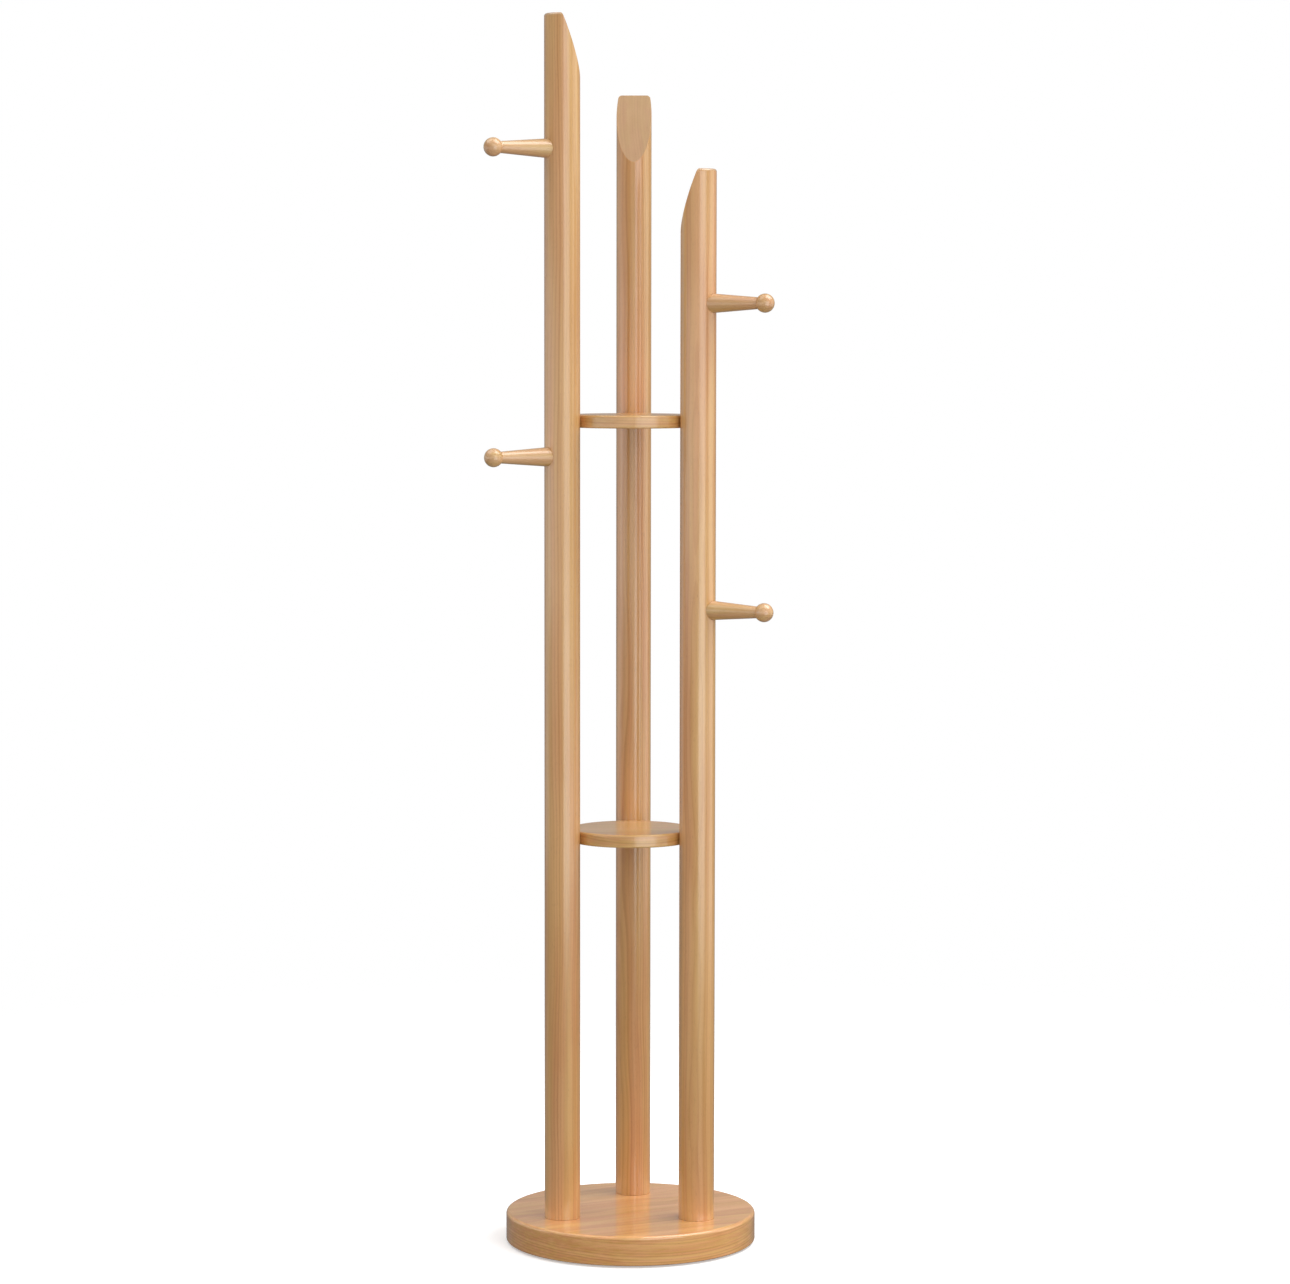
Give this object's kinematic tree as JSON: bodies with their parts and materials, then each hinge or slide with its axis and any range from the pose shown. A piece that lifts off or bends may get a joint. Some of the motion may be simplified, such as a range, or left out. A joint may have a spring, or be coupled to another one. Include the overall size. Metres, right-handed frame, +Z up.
{
  "type": "standing coat rack",
  "caption": "Standing wooden coat rack: round poles of different heights on a round base, with round shelves between them and ball-ended pegs for hanging things.",
  "frame": {"origin": "on the floor under the middle of the round base, on the underside of the middle floor pad", "axes": "+Z up along the poles; -Y the front, where two of the poles stand; +X to the right, towards the shortest pole; the third pole stands behind, on +Y"},
  "size_m": [0.4064, 0.4127, 1.758],
  "materials": {
    "pole_wood": "satin lacquer",
    "board_wood": "satin lacquer",
    "peg_wood": "satin lacquer",
    "bolt_steel": "zinc plated",
    "lock_zinc": "cast",
    "insert_brass": "machined",
    "pad_rubber": "matt"
  },
  "bodies": {
    "root": {"base_disc": "board_wood", "floor_pad_middle": "pad_rubber", "floor_pad_1": "pad_rubber", "floor_pad_2": "pad_rubber", "floor_pad_3": "pad_rubber", "floor_pad_4": "pad_rubber", "floor_pad_5": "pad_rubber", "floor_pad_6": "pad_rubber", "shelf_lower": "board_wood", "shelf_upper": "board_wood", "pole_left": "pole_wood", "foot_bolt_left": "bolt_steel", "foot_washer_left": "bolt_steel", "foot_insert_left": "insert_brass", "peg_left_upper": "peg_wood", "peg_stud_left_upper": "bolt_steel", "peg_insert_left_upper": "insert_brass", "peg_left_lower": "peg_wood", "peg_stud_left_lower": "bolt_steel", "peg_insert_left_lower": "insert_brass", "cam_lock_lower_left": "lock_zinc", "cam_bolt_lower_left": "bolt_steel", "cam_lock_upper_left": "lock_zinc", "cam_bolt_upper_left": "bolt_steel", "pole_rear": "pole_wood", "foot_bolt_rear": "bolt_steel", "foot_washer_rear": "bolt_steel", "foot_insert_rear": "insert_brass", "peg_rear_upper": "peg_wood", "peg_stud_rear_upper": "bolt_steel", "peg_insert_rear_upper": "insert_brass", "peg_rear_lower": "peg_wood", "peg_stud_rear_lower": "bolt_steel", "peg_insert_rear_lower": "insert_brass", "cam_lock_lower_rear": "lock_zinc", "cam_bolt_lower_rear": "bolt_steel", "cam_lock_upper_rear": "lock_zinc", "cam_bolt_upper_rear": "bolt_steel", "pole_right": "pole_wood", "foot_bolt_right": "bolt_steel", "foot_washer_right": "bolt_steel", "foot_insert_right": "insert_brass", "peg_right_upper": "peg_wood", "peg_stud_right_upper": "bolt_steel", "peg_insert_right_upper": "insert_brass", "peg_right_lower": "peg_wood", "peg_stud_right_lower": "bolt_steel", "peg_insert_right_lower": "insert_brass", "cam_lock_lower_right": "lock_zinc", "cam_bolt_lower_right": "bolt_steel", "cam_lock_upper_right": "lock_zinc", "cam_bolt_upper_right": "bolt_steel"}
  },
  "joints": []
}
